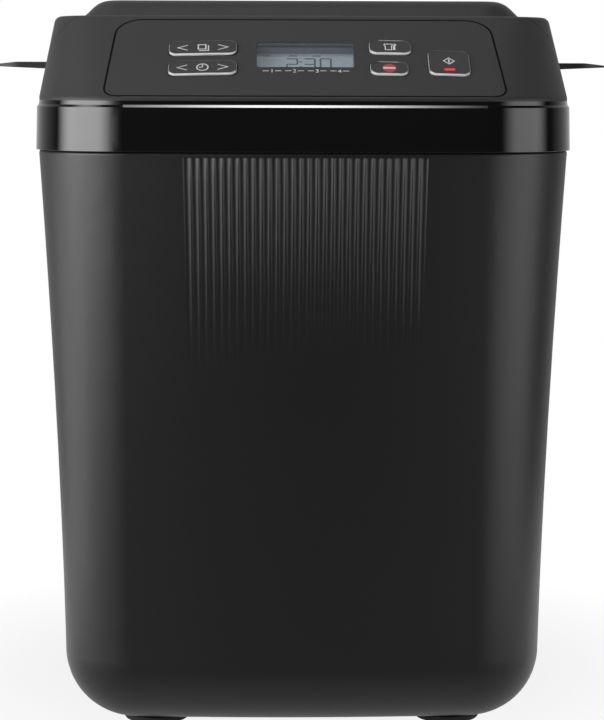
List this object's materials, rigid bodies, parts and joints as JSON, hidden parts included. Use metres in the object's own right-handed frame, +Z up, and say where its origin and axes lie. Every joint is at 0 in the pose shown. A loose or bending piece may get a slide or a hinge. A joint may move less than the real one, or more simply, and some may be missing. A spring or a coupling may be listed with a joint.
{
  "type": "bread machine",
  "caption": "Free-standing bread machine: flared dark case with a fluted front, gloss band, sloped key console with display, hinged domed lid and a twist-out pan with a driven kneading blade.",
  "frame": {"origin": "on the table under the middle of the machine, at the level of the feet", "axes": "+X to the right seen from the front, +Y to the back, +Z up; the console faces -Y"},
  "size_m": [0.2962, 0.305, 0.332],
  "materials": {
    "case_plastic": "fine matte",
    "console_plastic": "fine matte",
    "gloss_black": "piano gloss",
    "key_plastic": "satin",
    "red_lens": "clear gloss",
    "window_clear": "clear",
    "display_panel": "gloss",
    "foot_rubber": "matte",
    "steel": "plain",
    "bright_aluminium": "satin",
    "pan_coating": "non-stick, low sheen",
    "sheet_steel": "galvanised",
    "board_green": "solder mask",
    "component_black": "matte",
    "copper": "enamelled wire",
    "iron_core": "laminated",
    "belt_rubber": "matte",
    "bronze": "oiled",
    "insulator": "fired",
    "inner_plastic": "moulded"
  },
  "bodies": {
    "case": {"body_shell": "case_plastic", "base_plate": "case_plastic", "feet": "foot_rubber", "base_screws": "steel", "trim_band": "gloss_black", "top_housing": "console_plastic", "hinge_posts": "console_plastic", "control_panel": "console_plastic", "lcd_window": "window_clear", "lcd_module": "display_panel", "control_board": "board_green", "tact_switches": "component_black", "hinge_pins": "steel", "pan_mount": "bright_aluminium", "oven_chamber": "sheet_steel", "chamber_floor": "sheet_steel", "chamber_supports": "steel", "heater_element": "steel", "heater_clips": "sheet_steel", "heater_terminals": "insulator", "sensor_sleeve": "insulator", "thermal_cutout": "component_black", "chassis_standoffs": "steel", "chassis_plate": "sheet_steel", "bearing_housing": "bright_aluminium", "shaft_bushes": "bronze", "drive_belt": "belt_rubber", "motor_stator": "iron_core", "motor_windings": "copper", "motor_lower_bracket": "bright_aluminium", "motor_upper_bracket": "bright_aluminium", "motor_bolts": "steel", "power_board": "board_green", "power_components": "component_black", "cord_gland": "belt_rubber"},
    "lid": {"lid_frame": "console_plastic", "lid_cover": "console_plastic", "lid_liner": "bright_aluminium", "lid_screws": "steel"},
    "menu_rocker": {"menu_key": "key_plastic"},
    "timer_rocker": {"timer_key": "key_plastic"},
    "size_button": {"size_key": "key_plastic"},
    "stop_button": {"stop_key": "key_plastic"},
    "start_button": {"start_key": "key_plastic", "start_lens": "red_lens"},
    "pan": {"bread_pan": "pan_coating", "pan_base": "bright_aluminium", "pan_bush": "bronze", "shaft_seal": "belt_rubber", "handle_lugs": "steel"},
    "bail": {"pan_handle": "steel"},
    "paddle": {"blade_spindle": "steel", "pan_coupling": "bright_aluminium", "kneading_blade": "pan_coating"},
    "drive": {"drive_shaft": "steel", "drive_dog": "bright_aluminium", "large_pulley": "inner_plastic"},
    "motor": {"motor_rotor": "iron_core", "small_pulley": "bright_aluminium"},
    "probe": {"sensor_probe": "bright_aluminium"}
  },
  "joints": [
    {"name": "lid_hinge", "type": "hinge", "parent": "case", "child": "lid", "pos_m": [0, 0.139, 0.3039], "axis": [-1, 0, 0], "range_deg": [0, 90]},
    {"name": "menu_rock", "type": "hinge", "parent": "case", "child": "menu_rocker", "pos_m": [-0.045, -0.11792, 0.30635], "axis": [0, 0.8192, 0.5736], "range_deg": [-2.5, 2.5], "stiffness_Nm_per_rad": 0.3},
    {"name": "timer_rock", "type": "hinge", "parent": "case", "child": "timer_rocker", "pos_m": [-0.045, -0.13045, 0.29758], "axis": [0, 0.8192, 0.5736], "range_deg": [-2.5, 2.5], "stiffness_Nm_per_rad": 0.3},
    {"name": "size_press", "type": "slide", "parent": "case", "child": "size_button", "axis": [0, 0.5736, -0.8192], "range_m": [0, 0.0008], "stiffness_N_per_m": 2500},
    {"name": "stop_press", "type": "slide", "parent": "case", "child": "stop_button", "axis": [0, 0.5736, -0.8192], "range_m": [0, 0.0008], "stiffness_N_per_m": 2500},
    {"name": "start_press", "type": "slide", "parent": "case", "child": "start_button", "axis": [0, 0.5736, -0.8192], "range_m": [0, 0.0008], "stiffness_N_per_m": 2500},
    {"name": "pan_twist", "type": "hinge", "parent": "case", "child": "pan", "pos_m": [0, 0.041, 0.08], "axis": [0, 0, 1], "range_deg": [0, 7.5]},
    {"name": "bail_swing", "type": "hinge", "parent": "pan", "child": "bail", "pos_m": [0, 0.041, 0.253], "axis": [-1, 0, 0], "range_deg": [0, 42]},
    {"name": "drive_spin", "type": "hinge", "parent": "case", "child": "drive", "pos_m": [0, 0.041, 0.05], "axis": [0, 0, 1], "continuous": true},
    {"name": "blade_spin", "type": "hinge", "parent": "pan", "child": "paddle", "pos_m": [0, 0.041, 0.1], "axis": [0, 0, 1], "continuous": true},
    {"name": "motor_spin", "type": "hinge", "parent": "case", "child": "motor", "pos_m": [0, -0.09545, 0.08], "axis": [0, 0, 1], "continuous": true},
    {"name": "probe_plunge", "type": "slide", "parent": "case", "child": "probe", "axis": [0, -1, 0], "range_m": [0, 0.002], "stiffness_N_per_m": 800}
  ],
  "couplings": [
    {"joint": "blade_spin", "follows": "drive_spin", "ratio": 1},
    {"joint": "motor_spin", "follows": "drive_spin", "ratio": 4.1579}
  ]
}
